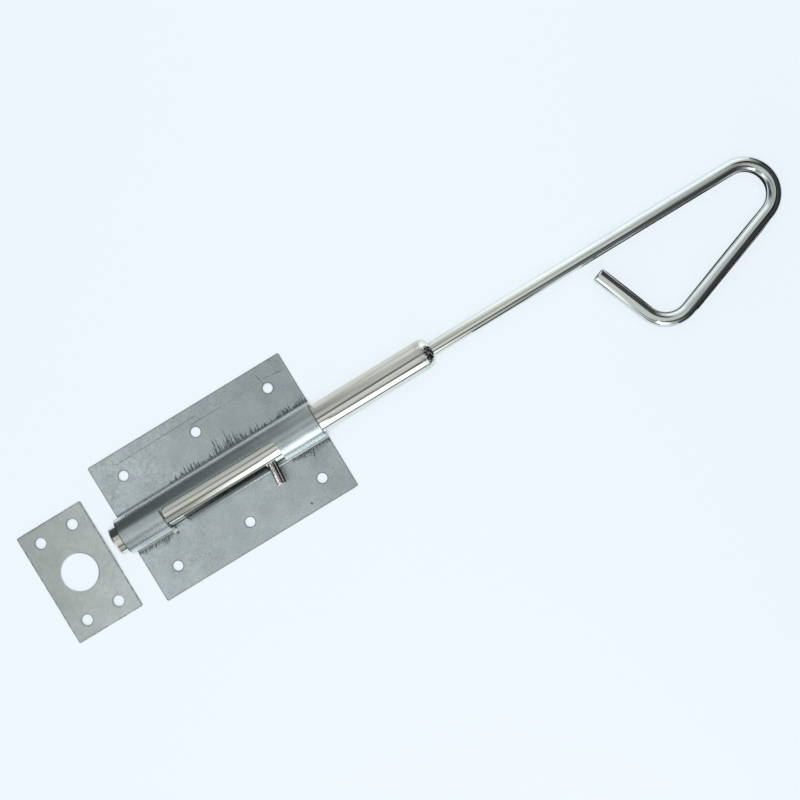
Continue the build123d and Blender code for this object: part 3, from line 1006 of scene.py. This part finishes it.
def card(name, corners, glow_of):
    """Glowing card that the metal mirrors and the camera does not see. glow_of gives tint and strength."""
    made, tree = new_material(name)
    place, x, y, z = place_of(tree)
    tint, strength = glow_of(tree, x, y, z)
    glow = add(tree, "ShaderNodeEmission", {"Color": tint, "Strength": strength})
    add(tree, "ShaderNodeOutputMaterial", {0: glow.outputs[0]})
    mesh = bpy.data.meshes.new(name)
    mesh.from_pydata(corners, [], [(0, 1, 2, 3)])
    shown = put_in_scene(name, mesh, made)
    shown.visible_camera = False
    shown.visible_shadow = False
    return shown


def flag(name, corners, glow_of):
    """Card that only the metal sees."""
    card(name, corners, glow_of).visible_diffuse = False


def upright(a, b, low, high):
    """Corners of a card that stands between two points, from one height to another."""
    return [(*a, low), (*b, low), (*b, high), (*a, high)]


def standing_flags(name, line, height, glow_of):
    """Flags that stand on the floor along a line."""
    for number, (a, b) in enumerate(zip(line, line[1:])):
        flag(f"{name}_{number}", upright(a, b, 0.0, height), glow_of)


def lying_flag(name, outline, glow_of):
    """Flag that lies just above the floor."""
    flag(name, [(*corner, FLAG_LIFT) for corner in outline], glow_of)


def studio():
    """Room of glowing cards round the object, with flags close to it."""
    w, e, s, n, h = ROOM_WEST, ROOM_EAST, ROOM_SOUTH, ROOM_NORTH, ROOM_HEIGHT
    card("south_card", [(w, s, 0), (e, s, 0), (e, s, h), (w, s, h)], south_glow)
    card("north_card", [(w, n, 0), (w, n, h), (e, n, h), (e, n, 0)], north_glow)
    card("east_card", [(e, s, 0), (e, n, 0), (e, n, h), (e, s, h)], east_glow)
    card("west_card", [(w, s, 0), (w, s, h), (w, n, h), (w, n, 0)], west_glow)
    card("ceiling_card", [(w, s, h), (e, s, h), (e, n, h), (w, n, h)], ceiling_glow)
    standing_flags("north_flag", NORTH_FLAG, NORTH_FLAG_HEIGHT, north_flag_glow)
    flag("south_flag", upright(*SOUTH_FLAG, *SOUTH_FLAG_HEIGHTS), dark_glow)
    flag("lip_flag", upright(*LIP_FLAG, *LIP_FLAG_HEIGHTS), lip_flag_glow)
    a, b = BAR_FLAG_ENDS
    foot, head = (BAR_FLAG_FOOT, 0.0), (BAR_FLAG_HEAD, BAR_FLAG_HEIGHT)
    flag("bar_flag", [(a, *foot), (b, *foot), (b, *head), (a, *head)], bar_flag_glow)
    lying_flag("rod_light", ROD_LIGHT, rod_light_glow)
    standing_flags("handle_flag", HANDLE_FLAG, HANDLE_FLAG_HEIGHT, dark_glow)
    lying_flag("shank_shade", SHANK_SHADE, shank_shade_glow)
    lying_flag("handle_shade", HANDLE_SHADE, dark_glow)
    standing_flags("shank_flag", SHANK_FLAG, SHANK_FLAG_HEIGHT, shank_flag_glow)


def floor():
    """Plain pale floor that keeps a faint shadow and goes dark in the hollows under the tunnel."""
    made, tree = new_material("floor")
    path = add(tree, "ShaderNodeLightPath").outputs
    seen = calc(tree, "ADD", path["Is Camera Ray"], path["Is Glossy Ray"])
    seen = calc(tree, "ADD", seen, path["Is Transmission Ray"], clamp=True)
    open_sky = add(tree, "ShaderNodeAmbientOcclusion", {"Distance": HOLLOW_REACH}, samples=8).outputs["AO"]
    lit = remap(tree, open_sky, 0.10, 0.40)
    glow = add(tree, "ShaderNodeEmission", {"Color": BACKDROP, "Strength": lit})
    matt = add(tree, "ShaderNodeBsdfDiffuse", {"Color": BACKDROP})
    place, x, y, z = place_of(tree)
    beyond = minus(tree, 1.0, spot(tree, x, y, CAMERA_PLACE[:2], FLOOR_NEAR, FLOOR_FADE))
    share = product(tree, seen, lerp(tree, beyond, FLOOR_GLOW, 1.0))
    mixed = add(tree, "ShaderNodeMixShader", {0: share, 1: matt.outputs[0], 2: glow.outputs[0]})
    add(tree, "ShaderNodeOutputMaterial", {0: mixed.outputs[0]})
    r = FLOOR_REACH
    mesh = bpy.data.meshes.new("floor")
    mesh.from_pydata([(-r, -r, 0), (r, -r, 0), (r, r, 0), (-r, r, 0)], [], [(0, 1, 2, 3)])
    put_in_scene("floor", mesh, made)


def lamps_and_sky():
    """Soft overhead lamp for the floor's shading, and a pale sky beyond the floor."""
    light = bpy.data.lights.new("overhead", "AREA")
    light.shape = "SQUARE"
    light.size = LAMP_SIZE
    light.energy = LAMP_POWER
    lamp = bpy.data.objects.new("overhead", light)
    lamp.location = LAMP_PLACE
    lamp.visible_glossy = False
    lamp.visible_camera = False
    bpy.context.scene.collection.objects.link(lamp)
    sky = bpy.data.worlds.new("sky")
    sky.use_nodes = True
    tree = sky.node_tree
    tree.nodes.clear()
    glow = add(tree, "ShaderNodeBackground", {"Color": BACKDROP, "Strength": 1.0})
    add(tree, "ShaderNodeOutputWorld", {0: glow.outputs[0]})
    bpy.context.scene.world = sky


def camera():
    """Camera straight above the bolt, turned as in the photo."""
    lens = bpy.data.cameras.new("camera")
    lens.lens = CAMERA_LENS
    made = bpy.data.objects.new("camera", lens)
    made.location = CAMERA_PLACE
    made.rotation_euler = (0.0, 0.0, CAMERA_ROLL)
    bpy.context.scene.collection.objects.link(made)
    bpy.context.scene.camera = made


# Scene

plate = eased_copy("mounting_plate", "mounting_plate_look", galvanised_sheet(), PLATE_EASE)
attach(plate, "plate")

keeper = eased_copy("keeper_plate", "keeper_plate_look", keeper_sheet(), KEEPER_EASE)
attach(keeper, "plate")

rod = handle_rod(rod_zinc())
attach(rod, "bolt")

weld = weld_ring(weld_metal())
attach(weld, "bolt")

bar = bolt_bar(bar_zinc())
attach(bar, "bolt")

pin = stop_pin(dark_steel())
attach(pin, "bolt")

studio()
floor()
lamps_and_sky()
camera()
bpy.context.scene.view_settings.view_transform = "Standard"
